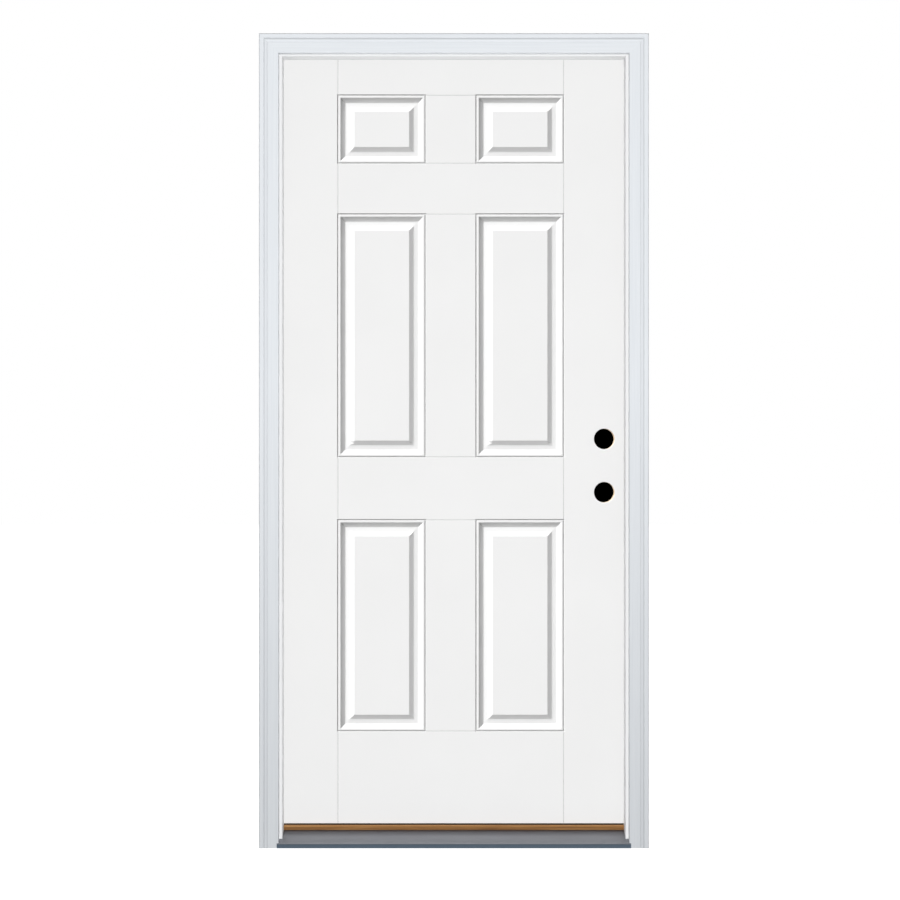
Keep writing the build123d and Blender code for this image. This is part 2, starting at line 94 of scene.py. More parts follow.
# Panel moulding: widths run inward from the groove, depths run down from the face
groove_half_width = 0.0024
groove_depth = 0.0022
ridge_width = 0.0042
ridge_drop = 0.0002
cove_width = 0.0124
cove_depth = 0.0098
cove_sag = 0.0007
cove_steps = 4
bevel_width = 0.0115
bevel_rise = 0.0014
bevel_sag = 0.00025
bevel_steps = 3
rise_width = 0.012
field_drop = 0.0004
moulding_ease = 0.0011
groove_ease = 0.0005
joint_line_half_width = 0.0007
joint_line_depth = 0.0006
skin_thickness = 0.0024
same_place = 1e-7

# Lock bores
bore_radius = 0.027
bore_edge_ease = 0.0006
bore_ease_share = 0.3
bore_backset = 0.060325
lower_bore_height = 0.866
bore_spacing = 0.1397
bore_block_reach = 0.034
bore_block_cells = 12

# Brickmould
band_width = 0.012
bead_width = 0.010
bead_height = 0.0026
bead_steps = 14
quirk_width = 0.0008
quirk_depth = 0.0004
flat_drop = 0.0032
brickmould_ease = 0.003
edge_run = 0.0024
edge_fall = 0.0065
fine_ease = 0.0005

# Hinges
leaf_reach = 0.0508
leaf_thickness = 0.0024
leaf_corner_radius = 0.015875
hinge_height = 0.1016
pin_offset = 0.0015875
knuckle_count = 3
knuckle_radius = 0.006
knuckle_gap = 0.0004
knuckle_clearance = 0.0005
knuckle_ease = 0.0005
pin_radius = 0.0032
pin_clearance = 0.00005
pin_head_radius = 0.0052
pin_head_height = 0.003
pin_tip = 0.0015
round_steps = 48
corner_steps = 12

# Screws
screw_head_radius = 0.0042
screw_head_height = 0.0021
screw_shank_radius = 0.0022
screw_sink = 0.0002
screw_recess_reach = 0.0024
screw_recess_half_width = 0.0006
screw_recess_depth = 0.0012
screw_recess_arms = 4
screw_floor_share = 0.6
screw_turn = 0.7
countersink_gap = 0.0004
countersink_floor = 0.0022
leaf_screws = ((-0.0298, 0.037), (-0.0398, 0.013), (-0.0398, -0.013), (-0.0298, -0.037))
assembly_screw_depth_shares = (0.2, 0.8)
assembly_head_drop = 0.0095
assembly_sill_rise = 0.0125

# Seals, pads and sweep
seal_leg_thickness = 0.0014
seal_leg_length = 0.008
seal_barb_height = 0.0012
kerf_width = 0.003
bulb_clearance = 0.0005
bulb_ease = 0.0032
leg_ease = 0.0003
pad_ease = 0.00025
pad_corner = 0.006
sweep_base_thickness = 0.0016
sweep_kerf_offset = 0.011
sweep_inset = 0.002
fin_root = 0.0012
fin_tip = 0.0007
fin_lean = 0.0004
fin_place_shares = (-0.42, -0.21, 0.0, 0.21, 0.42)
fin_steps = 5

# Eased corners and bowed runs
ease_steps = 4
ease_limit_share = 0.5
bow_factor = 4
crease_angle = math.radians(24)

# Grain in features to the metre along X, Y and Z. Gloss is the roughness from and to.
skin_grain = (4, 4, 4)
skin_fine_grain = (1400, 1400, 1400)
skin_gloss = (0.36, 0.46)
skin_shine = 0.5
skin_relief = 0.05
paint_grain = {"upright": (260, 260, 5), "level": (5, 260, 260)}
paint_fine_grain = {"upright": (900, 900, 14), "level": (14, 900, 900)}
paint_gloss = (0.38, 0.50)
paint_shine = 0.2
paint_relief = 0.12
edge_grain = {"upright": (150, 150, 3), "level": (3, 150, 150)}
edge_pore_grain = {"upright": (900, 900, 12), "level": (12, 900, 900)}
edge_gloss = (0.55, 0.70)
oak_grain = (5, 240, 240)
oak_pore_grain = (16, 1400, 1400)
oak_gloss = (0.40, 0.55)
wood_relief = 0.25
deck_grain = (4, 1300, 1300)
deck_gloss = (0.34, 0.46)
deck_relief = 0.15
hinge_grain = (1600, 1600, 30)
hinge_gloss = (0.26, 0.36)
hinge_relief = 0.10
screw_grain = (900, 900, 900)
screw_gloss = (0.24, 0.34)
screw_relief = 0.06
seal_grain = (1500, 1500, 1500)
seal_gloss = (0.55, 0.70)
seal_relief = 0.20
pad_grain = (1100, 1100, 1100)
core_grain = (900, 900, 900)
foam_gloss = (0.80, 0.95)
foam_relief = 0.50
vinyl_grain = (30, 900, 900)
vinyl_gloss = (0.42, 0.55)
vinyl_relief = 0.10
slate_grain = (400, 900, 900)
slate_gloss = (0.45, 0.60)
slate_relief = 0.12
composite_grain = (700, 700, 700)
composite_gloss = (0.65, 0.80)
composite_relief = 0.30
soft_detail = 2.0
middle_detail = 3.0
rich_detail = 4.0
texture_height = 0.0004

# Tones, from the darkest to the lightest
whole_span = (0.0, 1.0)
noise_span = (0.3, 0.7)
pore_span = (0.32, 0.46)
cell_span = (0.0, 0.9)
ramp_middle = 0.5
white = (1.0, 1.0, 1.0)
# Painted shade: the skin darkens to this tone toward its foot
skin_foot_shade = 0.97
# Painted shade in the skin's grooves and coves goes down to this tone
skin_crevice_shade = 0.28
crevice_reach = 0.005
crevice_span = (0.5, 0.95)
crevice_samples = 4
# Painted shade: frame paint and jambs darken toward their foot, below this height, to these tones
paint_foot_height = 1.2
paint_foot_shade = 0.76
jamb_foot_shade = 0.95
skin_tones = ((0.838, 0.838, 0.836), (0.858, 0.858, 0.856))
paint_tones = ((0.790, 0.824, 0.860), (0.830, 0.862, 0.896))
# The jambs' paint is a lighter copy of the frame paint: painted light that makes them look lit
lit_jamb_tones = ((0.895, 0.903, 0.914), (0.925, 0.932, 0.942))
edge_tones = ((0.47, 0.345, 0.215), (0.58, 0.455, 0.305), (0.68, 0.565, 0.41))
edge_pore_tone = (0.80, 0.76, 0.70)
oak_tones = ((0.150, 0.066, 0.018), (0.240, 0.112, 0.032), (0.320, 0.165, 0.058))
oak_pore_tone = (0.60, 0.52, 0.45)
deck_tones = ((0.300, 0.308, 0.334), (0.356, 0.364, 0.392))
# Painted shade on the sill deck: darker toward the cap, under the slab, and along its front lip
deck_back_shade_tone = (0.27, 0.26, 0.28)
nosing_shadow = 0.004
nosing_shadow_tone = (0.15, 0.15, 0.16)
deck_nose = 0.002
deck_nose_shade_tone = (0.42, 0.46, 0.48)
nickel_tones = ((0.36, 0.345, 0.32), (0.50, 0.48, 0.45))
seal_tones = ((0.60, 0.61, 0.61), (0.78, 0.79, 0.79))
pad_tones = ((0.012, 0.012, 0.013), (0.050, 0.050, 0.052))
core_tones = ((0.50, 0.40, 0.18), (0.80, 0.70, 0.42))
vinyl_tones = ((0.016, 0.016, 0.017), (0.034, 0.034, 0.036))
slate_tones = ((0.045, 0.068, 0.094), (0.070, 0.100, 0.134))
composite_tones = ((0.050, 0.045, 0.040), (0.100, 0.092, 0.084), (0.160, 0.150, 0.140))

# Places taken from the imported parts
slab_low, slab_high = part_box("exterior_skin")
inner_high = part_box("interior_skin")[1]
leg_low, leg_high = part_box("brickmould_strike_leg")
head_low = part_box("brickmould_head")[0]
jamb_low, jamb_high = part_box("strike_jamb")
half_slab = slab_high.x
slab_lift = slab_low.z
slab_top = slab_high.z
slab_front = slab_low.y
slab_back = inner_high.y
slab_middle = (slab_front + slab_back) / 2
slab_middle_height = (slab_lift + slab_top) / 2
bore_x = half_slab - bore_backset
bore_heights = (slab_lift + lower_bore_height, slab_lift + lower_bore_height + bore_spacing)


# Meshes


def curved_corner(before, corner, after, reach):
    """Points of a smooth curve that takes the place of a sharp corner."""
    to_before = before - corner
    to_after = after - corner
    start = corner + to_before * min(reach / to_before.length, ease_limit_share)
    end = corner + to_after * min(reach / to_after.length, ease_limit_share)
    points = []
    for step in range(ease_steps + 1):
        share = step / ease_steps
        points.append(start.lerp(corner, share).lerp(corner.lerp(end, share), share))
    return points


def eased(points, reach, closed=True):
    """A flat line through points with its corners eased. The ends of an open line stay as they are."""
    corners = [Vector(point) for point in points]
    last = len(corners) - 1
    line = []
    for index, corner in enumerate(corners):
        if not closed and index in (0, last):
            line.append(corner)
        else:
            after = corners[(index + 1) % len(corners)]
            line.extend(curved_corner(corners[index - 1], corner, after, reach))
    return line


def loft(builder, rings):
    """Skins a row of rings of points, each with the same number of points, and caps its ends."""
    rows = [[builder.verts.new(point) for point in ring] for ring in rings]
    count = len(rows[0])
    for low, high in zip(rows, rows[1:]):
        for index in range(count):
            after = (index + 1) % count
            builder.faces.new((low[index], low[after], high[after], high[index]))
    builder.faces.new(reversed(rows[0]))
    builder.faces.new(rows[-1])


def lathe(builder, profile, place, closed=False):
    """Turns a line of (radius, height) round an upright axis."""
    rows = []
    for step in range(round_steps):
        angle = math.tau * step / round_steps
        across, inward = math.cos(angle), math.sin(angle)
        ring = [place + Vector((radius * across, radius * inward, height)) for radius, height in profile]
        rows.append([builder.verts.new(point) for point in ring])
    count = len(profile)
    for step, row in enumerate(rows):
        following = rows[(step + 1) % round_steps]
        for index in range(count if closed else count - 1):
            after = (index + 1) % count
            builder.faces.new((row[index], following[index], following[after], row[after]))


def ring_edges(builder, vertices):
    """Edges round a ring of vertices."""
    edges = []
    for index, vertex in enumerate(vertices):
        pair = (vertices[index - 1], vertex)
        edges.append(builder.edges.get(pair) or builder.edges.new(pair))
    return edges


def fill(builder, rings):
    """A flat face inside the first ring, with the other rings as holes."""
    edges = [edge for ring in rings for edge in ring_edges(builder, ring)]
    bmesh.ops.triangle_fill(builder, use_beauty=True, use_dissolve=False, edges=edges)


def join_rings(builder, low, high):
    """A band of faces between two rings of vertices."""
    for index in range(len(low)):
        builder.faces.new((low[index - 1], low[index], high[index], high[index - 1]))


def linked(name, data):
    """A new object in the scene."""
    made = bpy.data.objects.new(name, data)
    bpy.context.scene.collection.objects.link(made)
    return made


def piece(name, builder, body, slot, node=None, finish=None):
    """Makes an object of a mesh and hands it to its body. Its finish is its slot's unless one is named."""
    bmesh.ops.remove_doubles(builder, verts=builder.verts, dist=same_place)
    bmesh.ops.recalc_face_normals(builder, faces=builder.faces)
    mesh = bpy.data.meshes.new(name)
    builder.to_mesh(mesh)
    builder.free()
    mesh.shade_smooth()
    mesh.set_sharp_from_angle(angle=crease_angle)
    mesh.materials.append(finishes[finish or slot])
    made = linked(name, mesh)
    weighting = made.modifiers.new("even_normals", "WEIGHTED_NORMAL")
    weighting.keep_sharp = True
    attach(made, body)
    if node:
        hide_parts(node)
    return made


def frame_run(name, rings, slot, node, finish=None):
    """A piece of the frame, skinned over a row of rings."""
    builder = bmesh.new()
    loft(builder, rings)
    return piece(name, builder, "frame", slot, node, finish)


# Moulded skins


def panel_layout():
    """Left, right, bottom and top of each panel."""
    row_tops = [slab_top - top_margin]
    row_tops.append(row_tops[0] - top_panel_height - frieze_height)
    row_tops.append(row_tops[1] - middle_panel_height - lock_rail_height)
    row_lows = [
        row_tops[0] - top_panel_height,
        row_tops[1] - middle_panel_height,
        slab_lift + bottom_margin,
    ]
    panels = []
    for side in (-1, 1):
        centre = side * (mullion_width + panel_width) / 2 - panel_shift
        for low, high in zip(row_lows, row_tops):
            panels.append((centre - panel_width / 2, centre + panel_width / 2, low, high))
    return panels


def bowed_run(start, width, fall, sag, steps):
    """Points of a shallow curve: a straight run that sags, by the whole sag half way."""
    points = []
    for step in range(steps + 1):
        share = step / steps
        bow = sag * bow_factor * share * (1 - share)
        points.append((start[0] + width * share, start[1] + fall * share + bow))
    return points


def moulding_line():
    """The line across a panel's moulding: (distance inward, depth)."""
    ridge_end = groove_half_width + ridge_width
    cove_end = ridge_end + cove_width
    bevel_end = cove_end + bevel_width
    groove = [(-groove_half_width, 0), (0, groove_depth), (groove_half_width, ridge_drop)]
    outer = eased([*groove, (ridge_end, ridge_drop)], groove_ease, False)
    cove = bowed_run((ridge_end, ridge_drop), cove_width, cove_depth - ridge_drop, cove_sag, cove_steps)
    bevel = bowed_run((cove_end, cove_depth), bevel_width, -bevel_rise, bevel_sag, bevel_steps)[1:]
    start = (groove_half_width, ridge_drop)
    end = bevel_end + rise_width
    crest = [(bevel_end, cove_depth - bevel_rise), (end, field_drop), (end + rise_width, field_drop)]
    inner = eased([start, cove[0], cove[1]], moulding_ease, False)[1:-1]
    inner += [Vector(point) for point in cove[1:-1]]
    inner += eased([cove[-2], cove[-1], bevel[0]], moulding_ease, False)[1:-1]
    inner += [Vector(point) for point in bevel[:-1]]
    inner += eased([bevel[-2], crest[0], crest[1]], moulding_ease, False)[1:-1]
    inner += eased(crest, moulding_ease, False)[1:-1]
    return outer[:-1] + inner


def depth_at(line, distance):
    """Depth of the moulding at a distance inward from a panel's edge."""
    if distance <= line[0].x:
        return 0
    for low, high in zip(line, line[1:]):
        if distance <= high.x:
            share = (distance - low.x) / (high.x - low.x)
            return low.y + (high.y - low.y) * share
    return line[-1].y


def joint_depth(offset):
    """Depth of a joint line at a distance from its middle."""
    return max(0, joint_line_depth * (1 - abs(offset) / joint_line_half_width))


def skin_depth(x, z, panels, line):
    """Depth of the moulded skin at a place on the slab."""
    stile_lines = (panels[0][0], panels[-1][1])
    depth = max(joint_depth(x - place) for place in stile_lines)
    mullion = (panels[0][1], panels[-1][0])
    if mullion[0] <= x <= mullion[1]:
        levels = [height for panel in panels for height in panel[2:]]
        depth = max(depth, max(joint_depth(z - height) for height in levels))
    for left, right, low, high in panels:
        inward = min(x - left, right - x, z - low, high - z)
        if inward > -groove_half_width:
            return max(depth_at(line, inward), depth if inward <= 0 else 0)
    return depth


def grid_lines(spans, line, extra, ends):
    """Places along one direction where the skin's mesh is divided."""
    places = [*extra, *ends]
    offsets = [point.x for point in line] + [-joint_line_half_width, 0, joint_line_half_width]
    for low, high in spans:
        places.extend(low + offset for offset in offsets)
        places.extend(high - offset for offset in offsets)
    places = sorted(place for place in places if ends[0] <= place <= ends[1])
    kept = [places[0]]
    for place in places[1:]:
        if place - kept[-1] > same_place:
            kept.append(place)
    return kept


def moulded_skin(face_y, inward, notches):
    """A moulded skin: its front follows the panels, its back lies one skin thickness behind."""
    panels = panel_layout()
    line = moulding_line()
    cell = 2 * bore_block_reach / bore_block_cells
    block_x = [bore_x - bore_block_reach + cell * step for step in range(bore_block_cells + 1)]
    block_z = [
        height - bore_block_reach + cell * step
        for height in bore_heights
        for step in range(bore_block_cells + 1)
    ]
    notch_x = [limit for notch in notches for limit in notch[:2]]
    notch_z = [limit for notch in notches for limit in notch[2:]]
    across = grid_lines({panel[:2] for panel in panels}, line, block_x + notch_x, (-half_slab, half_slab))
    upward = grid_lines({panel[2:] for panel in panels}, line, block_z + notch_z, (slab_lift, slab_top))
    builder = bmesh.new()
    fronts, backs = {}, {}

    def left_out(x, z):
        """True inside a lock bore's block or a hinge notch."""
        in_block = abs(x - bore_x) < bore_block_reach and any(
            abs(z - height) < bore_block_reach for height in bore_heights
        )
        in_notch = any(low <= x <= high and below <= z <= above for low, high, below, above in notches)
        return in_block or in_notch

    def corner(column, row):
        """The front and back vertices at one place of the grid."""
        if (column, row) not in fronts:
            x, z = across[column], upward[row]
            depth = skin_depth(x, z, panels, line)
            fronts[column, row] = builder.verts.new((x, face_y + inward * depth, z))
            backs[column, row] = builder.verts.new((x, face_y + inward * (depth + skin_thickness), z))
        return column, row

    def two_faces(keys):
        """The same face on the front and, turned over, on the back."""
        builder.faces.new([fronts[key] for key in keys])
        builder.faces.new([backs[key] for key in reversed(keys)])

    kept = set()
    for column in range(len(across) - 1):
        for row in range(len(upward) - 1):
            middle_x = (across[column] + across[column + 1]) / 2
            middle_z = (upward[row] + upward[row + 1]) / 2
            if left_out(middle_x, middle_z):
                continue
            kept.add((column, row))
            keys = [
                corner(column, row),
                corner(column + 1, row),
                corner(column + 1, row + 1),
                corner(column, row + 1),
            ]
            near, right, far, left = keys
            near_y, right_y, far_y, left_y = [fronts[key].co.y for key in keys]
            if abs(near_y + far_y - right_y - left_y) < same_place:
                two_faces(keys)
            elif abs(right_y - left_y) < same_place:
                two_faces([near, right, far])
                two_faces([near, far, left])
            else:
                two_faces([near, right, left])
                two_faces([right, far, left])

    line_bores(builder, across, upward, fronts, backs, face_y, inward)
    close_rim(builder, fronts, backs, kept)
    return builder


def close_rim(builder, fronts, backs, kept):
    """Side faces along the skin's outline and round its notches."""
    for column, row in kept:
        sides = {
            (column - 1, row): ((column, row + 1), (column, row)),
            (column + 1, row): ((column + 1, row), (column + 1, row + 1)),
            (column, row - 1): ((column, row), (column + 1, row)),
            (column, row + 1): ((column + 1, row + 1), (column, row + 1)),
        }
        for neighbour, (start, end) in sides.items():
            if neighbour in kept:
                continue
            edge = builder.edges.get((fronts[start], fronts[end]))
            if edge and edge.is_boundary:
                builder.faces.new((fronts[end], fronts[start], backs[start], backs[end]))


def line_bores(builder, across, upward, fronts, backs, face_y, inward):
    """Fills the square block round each lock bore and lines the hole."""
    for height in bore_heights:
        columns = [i for i, x in enumerate(across) if abs(x - bore_x) <= bore_block_reach + same_place]
        rows = [i for i, z in enumerate(upward) if abs(z - height) <= bore_block_reach + same_place]
        rim = [(column, rows[0]) for column in columns[:-1]]
        rim += [(columns[-1], row) for row in rows[:-1]]
        rim += [(column, rows[-1]) for column in reversed(columns[1:])]
        rim += [(columns[0], row) for row in reversed(rows[1:])]
        outer_front = [fronts[key] for key in rim]
        outer_back = [backs[key] for key in rim]
        arms = [Vector((across[column] - bore_x, upward[row] - height)).normalized() for column, row in rim]
        eased_edge = bore_edge_ease * bore_ease_share
        levels = [
            (bore_radius + bore_edge_ease, 0),
            (bore_radius + eased_edge, eased_edge),
            (bore_radius, bore_edge_ease),
            (bore_radius, skin_thickness),
        ]
        rings = [
            [
                builder.verts.new((bore_x + arm.x * radius, face_y + inward * depth, height + arm.y * radius))
                for arm in arms
            ]
            for radius, depth in levels
        ]
        join_rings(builder, outer_front, rings[0])
        for low, high in zip(rings, rings[1:]):
            join_rings(builder, low, high)
        join_rings(builder, rings[-1], outer_back)


def leaf_notches():
    """Where the door's hinge leaves cross the inside skin: left, right, bottom, top."""
    notches = []
    for name in ("upper", "middle", "lower"):
        low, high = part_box(f"door_leaf_{name}")
        notches.append((-half_slab, -half_slab + leaf_thickness, low.z, high.z))
    return notches


def build_skins():
    """The outside and inside skins, which differ in the hinge notches alone."""
    outside = moulded_skin(slab_front, 1, [])
    piece("moulded_outside", outside, "door", "skin", "exterior_skin")
    inside = moulded_skin(slab_back, -1, leaf_notches())
    piece("moulded_inside", inside, "door", "skin", "interior_skin")


# Brickmould


def brickmould_line():
    """Section of the brickmould: (outward from its inner edge, inward from the wall)."""
    width = leg_high.x - leg_low.x
    face = leg_low.y
    flat = face + flat_drop
    band_start = width - band_width
    bead_end = band_start - quirk_width
    bead_start = bead_end - bead_width
    flat_end = bead_start - quirk_width
    bead_base = flat + quirk_depth
    bead = []
    for step in range(bead_steps + 1):
        share = step / bead_steps
        crown = (quirk_depth + bead_height) * math.sin(math.pi * share)
        bead.append(Vector((bead_start + bead_width * share, bead_base - crown)))
    inner = [(0, 0), (0, flat), (flat_end, flat)]
    quirk = [(0, flat), (flat_end, flat), (flat_end, bead_base), (bead_start, bead_base)]
    band = [(bead_end, bead_base), (band_start, bead_base), (band_start, face), (width, face)]
    outer = [(band_start, face), (width - edge_run, face), (width, face + edge_fall), (width, 0)]
    line = eased(inner, brickmould_ease, False)[:-1]
    line += eased(quirk, fine_ease, False)[1:-1] + bead
    line += eased(band, fine_ease, False)[1:-1]
    return line + eased(outer, fine_ease, False)[1:]


def build_brickmould():
    """The two legs and the head, mitred where they meet."""
    line = brickmould_line()
    inner_x = leg_low.x
    inner_z = head_low.z
    mitres = {
        side: [Vector((side * (inner_x + point.x), point.y, inner_z + point.x)) for point in line]
        for side in (-1, 1)
    }
    feet = {
        side: [Vector((side * (inner_x + point.x), point.y, leg_low.z)) for point in line]
        for side in (-1, 1)
    }
    runs = (
        ("hinge_run", "hinge_leg", "paint_upright", [feet[-1], mitres[-1]]),
        ("strike_run", "strike_leg", "paint_upright", [feet[1], mitres[1]]),
        ("head_run", "head", "paint_level", [mitres[-1], mitres[1]]),
    )
    return [
        frame_run(f"brickmould_{name}", rings, "painted_frame", f"brickmould_{node}", finish)
        for name, node, finish, rings in runs
    ]


# Hinges and screws


def leaf_outline(first):
    """Outline of a leaf with its notches: (inward from the pin, up)."""
    half = hinge_height / 2
    pitch = hinge_height / knuckle_count
    room = knuckle_radius + knuckle_clearance
    low_cut = -half + pitch
    gap = knuckle_gap / 2
    start, end, cut = (0, -room, low_cut - gap) if first == 0 else (-room, 0, low_cut + gap)
    near = [(start, -half), (start, cut), (end, cut)]
    far = [(place, -height) for place, height in reversed(near)]
    pin_side = [Vector(corner) for corner in near + far]
    top = Vector((-leaf_reach, half))
    foot = Vector((-leaf_reach, -half))
    line = quarter_turn(pin_side[-1], top, foot, leaf_corner_radius)
    line += quarter_turn(top, foot, pin_side[0], leaf_corner_radius)
    return line + pin_side


def quarter_turn(before, corner, after, radius):
    """Points of a round corner between two square edges."""
    to_before = (before - corner).normalized() * radius
    to_after = (after - corner).normalized() * radius
    centre = corner + to_before + to_after
    points = []
    for step in range(corner_steps + 1):
        angle = math.pi / 2 * step / corner_steps
        points.append(centre - to_after * math.cos(angle) - to_before * math.sin(angle))
    return points


def circle(centre, radius):
    """Points round a flat circle."""
    turns = [math.tau * step / round_steps for step in range(round_steps)]
    return [centre + Vector((math.cos(turn), math.sin(turn))) * radius for turn in turns]


def hinge_leaf(pin, side, first):
    """A leaf with countersunk holes, its knuckles and their bores."""
    builder = bmesh.new()
    front = pin.x + side * pin_offset
    back = front + side * leaf_thickness
    floor = front + side * countersink_floor

    def ring(points, x):
        return [builder.verts.new((x, pin.y + point.x, pin.z + point.y)) for point in points]

    outline = leaf_outline(first)
    front_rim = ring(outline, front)
    back_rim = ring(outline, back)
    mouths = []
    for spot in leaf_screws:
        centre = Vector(spot)
        mouth = ring(circle(centre, screw_head_radius + countersink_gap), front)
        root = ring(circle(centre, screw_shank_radius + countersink_gap), floor)
        join_rings(builder, mouth, root)
        builder.faces.new(root)
        mouths.append(mouth)
    fill(builder, [front_rim, *mouths])
    fill(builder, [back_rim])
    join_rings(builder, front_rim, back_rim)
    pitch = hinge_height / knuckle_count
    inner = pin_radius + pin_clearance
    for index in range(first, knuckle_count, 2):
        low = -hinge_height / 2 + index * pitch + knuckle_gap / 2
        high = low + pitch - knuckle_gap
        section = [
            (inner, low),
            (knuckle_radius - knuckle_ease, low),
            (knuckle_radius, low + knuckle_ease),
            (knuckle_radius, high - knuckle_ease),
            (knuckle_radius - knuckle_ease, high),
            (inner, high),
        ]
        lathe(builder, section, pin, closed=True)
    return builder


def hinge_pin(pin):
    """A pin with a domed head and a rounded tip."""
    high = hinge_height / 2
    low = -high - pin_tip
    crown = high + pin_head_height
    head = [(0, crown), (pin_head_radius, crown), (pin_head_radius, high)]
    shank = [(pin_radius, high), (pin_radius, low), (0, low)]
    builder = bmesh.new()
    lathe(builder, eased(head, pin_head_height, False) + eased(shank, pin_tip, False), pin)
    return builder


def add_screw(builder, place, facing, turn):
    """A flat-head screw with a cross recess, its face at a place and looking along a direction."""
    facing_turn = facing.to_track_quat("Z", "Y").to_matrix().to_4x4()
    pose = Matrix.Translation(place) @ facing_turn @ Matrix.Rotation(turn, 4, "Z")

    def ring(points, height):
        return [builder.verts.new(pose @ Vector((point.x, point.y, height))) for point in points]

    origin = Vector((0, 0))
    reach, half = screw_recess_reach, screw_recess_half_width
    arm = [Vector((reach, -half)), Vector((reach, half)), Vector((half, half))]
    cross = []
    for number in range(screw_recess_arms):
        turned = Matrix.Rotation(math.tau * number / screw_recess_arms, 2)
        cross.extend(turned @ point for point in arm)
    rim = ring(circle(origin, screw_head_radius), 0)
    root = ring(circle(origin, screw_shank_radius), -screw_head_height)
    mouth = ring(cross, 0)
    floor = ring([point * screw_floor_share for point in cross], -screw_recess_depth)
    fill(builder, [rim, mouth])
    fill(builder, [floor])
    join_rings(builder, mouth, floor)
    join_rings(builder, rim, root)
    builder.faces.new(root)


def build_hinges():
    """Three hinges with their screws, and the screws that hold the jambs together."""
    door_screws = bmesh.new()
    frame_screws = bmesh.new()
    for order, name in enumerate(("upper", "middle", "lower")):
        low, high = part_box(f"hinge_pin_{name}")
        pin = (low + high) / 2
        pin.z = high.z - pin_head_height - hinge_height / 2
        for body, side, first, screws in (("door", 1, 1, door_screws), ("frame", -1, 0, frame_screws)):
            leaf = hinge_leaf(pin, side, first)
            piece(f"{body}_hinge_leaf_{name}", leaf, body, "hinge_steel", f"{body}_leaf_{name}")
            face = pin.x + side * (pin_offset + screw_sink)
            for number, (inward, up) in enumerate(leaf_screws):
                place = Vector((face, pin.y + inward, pin.z + up))
                turn = screw_turn * (number + 1) * (order + 1)
                add_screw(screws, place, Vector((-side, 0, 0)), turn)
        piece(f"domed_pin_{name}", hinge_pin(pin), "frame", "hinge_steel", f"hinge_pin_{name}")
    piece("door_leaf_screws", door_screws, "door", "screw_steel")
    piece("frame_leaf_screws", frame_screws, "frame", "screw_steel")
    assembly = bmesh.new()
    for side in (-1, 1):
        for share in assembly_screw_depth_shares:
            for height in (jamb_high.z - assembly_head_drop, jamb_low.z + assembly_sill_rise):
                face = side * (jamb_high.x - screw_sink)
                place = Vector((face, jamb_high.y * share, height))
                turn = share + height
                add_screw(assembly, place, Vector((side, 0, 0)), turn)
    piece("assembly_screws", assembly, "frame", "screw_steel")


# Seals, pads and sweep


def barbed_leg(middle, root, tip, barb):
    """Outline of a leg that holds in a kerf by its barbs, from one side of its root to the other."""
    half_leg = seal_leg_thickness / 2
    half_barb = kerf_width / 2
    return [
        (middle - half_leg, root),
        (middle - half_leg, barb),
        (middle - half_barb, barb),
        (middle, tip),
        (middle + half_barb, barb),
        (middle + half_leg, barb),
        (middle + half_leg, root),
    ]


def bulb_line(low, high, stop_back, leg_middle):
    """Section of a seal: (outward, inward), a soft bulb with a leg behind it."""
    leg_end = stop_back - seal_leg_length
    leg = barbed_leg(leg_middle, stop_back, leg_end, leg_end + seal_barb_height)
    foot, shoulder = (low, stop_back), (high[0], stop_back)
    bulb = [shoulder, high, (low, high[1]), foot]
    return eased([foot, *leg, shoulder], leg_ease, False) + eased(bulb, bulb_ease, False)[1:-1]


def build_seals():
    """Three seals of one section: one at each side and one under the head."""
    low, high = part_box("strike_side_seal")
    stop_back = low.y + seal_leg_length
    leg_middle = high.x - kerf_width / 2
    top_low, top_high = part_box("head_seal")
    section = bulb_line(low.x, (high.x - bulb_clearance, high.y), stop_back, leg_middle)
    made = []
    for side, name in ((-1, "hinge_side_seal"), (1, "strike_side_seal")):
        rings = [
            [Vector((side * point.x, point.y, height)) for point in section]
            for height in (low.z, high.z)
        ]
        made.append(frame_run(f"foam_{name}", rings, "seal_foam", name))
    rise = top_low.z - low.x
    rings = [
        [Vector((x, point.y, point.x + rise)) for point in section]
        for x in (top_low.x, top_high.x)
    ]
    made.append(frame_run("foam_head_seal", rings, "seal_foam", "head_seal"))
    return made


def build_pads():
    """Soft pads in the lower corners, their face toward the room eased."""
    for side, name in ((-1, "hinge_corner_pad"), (1, "strike_corner_pad")):
        low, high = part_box(name)
        corners = [(low.y, low.z), (high.y, low.z), (high.y, high.z), (low.y, high.z)]
        outline = eased(corners, pad_corner)
        centre = Vector(((low.y + high.y) / 2, (low.z + high.z) / 2))
        inner = [point + (centre - point).normalized() * pad_ease for point in outline]
        wall, room = (high.x, low.x) if side > 0 else (low.x, high.x)
        shoulder = room + side * pad_ease
        rings = [
            [Vector((x, point.x, point.y)) for point in ring]
            for x, ring in ((wall, outline), (shoulder, outline), (room, inner))
        ]
        pad = frame_run(f"foam_{name}", rings, "pad_foam", name)


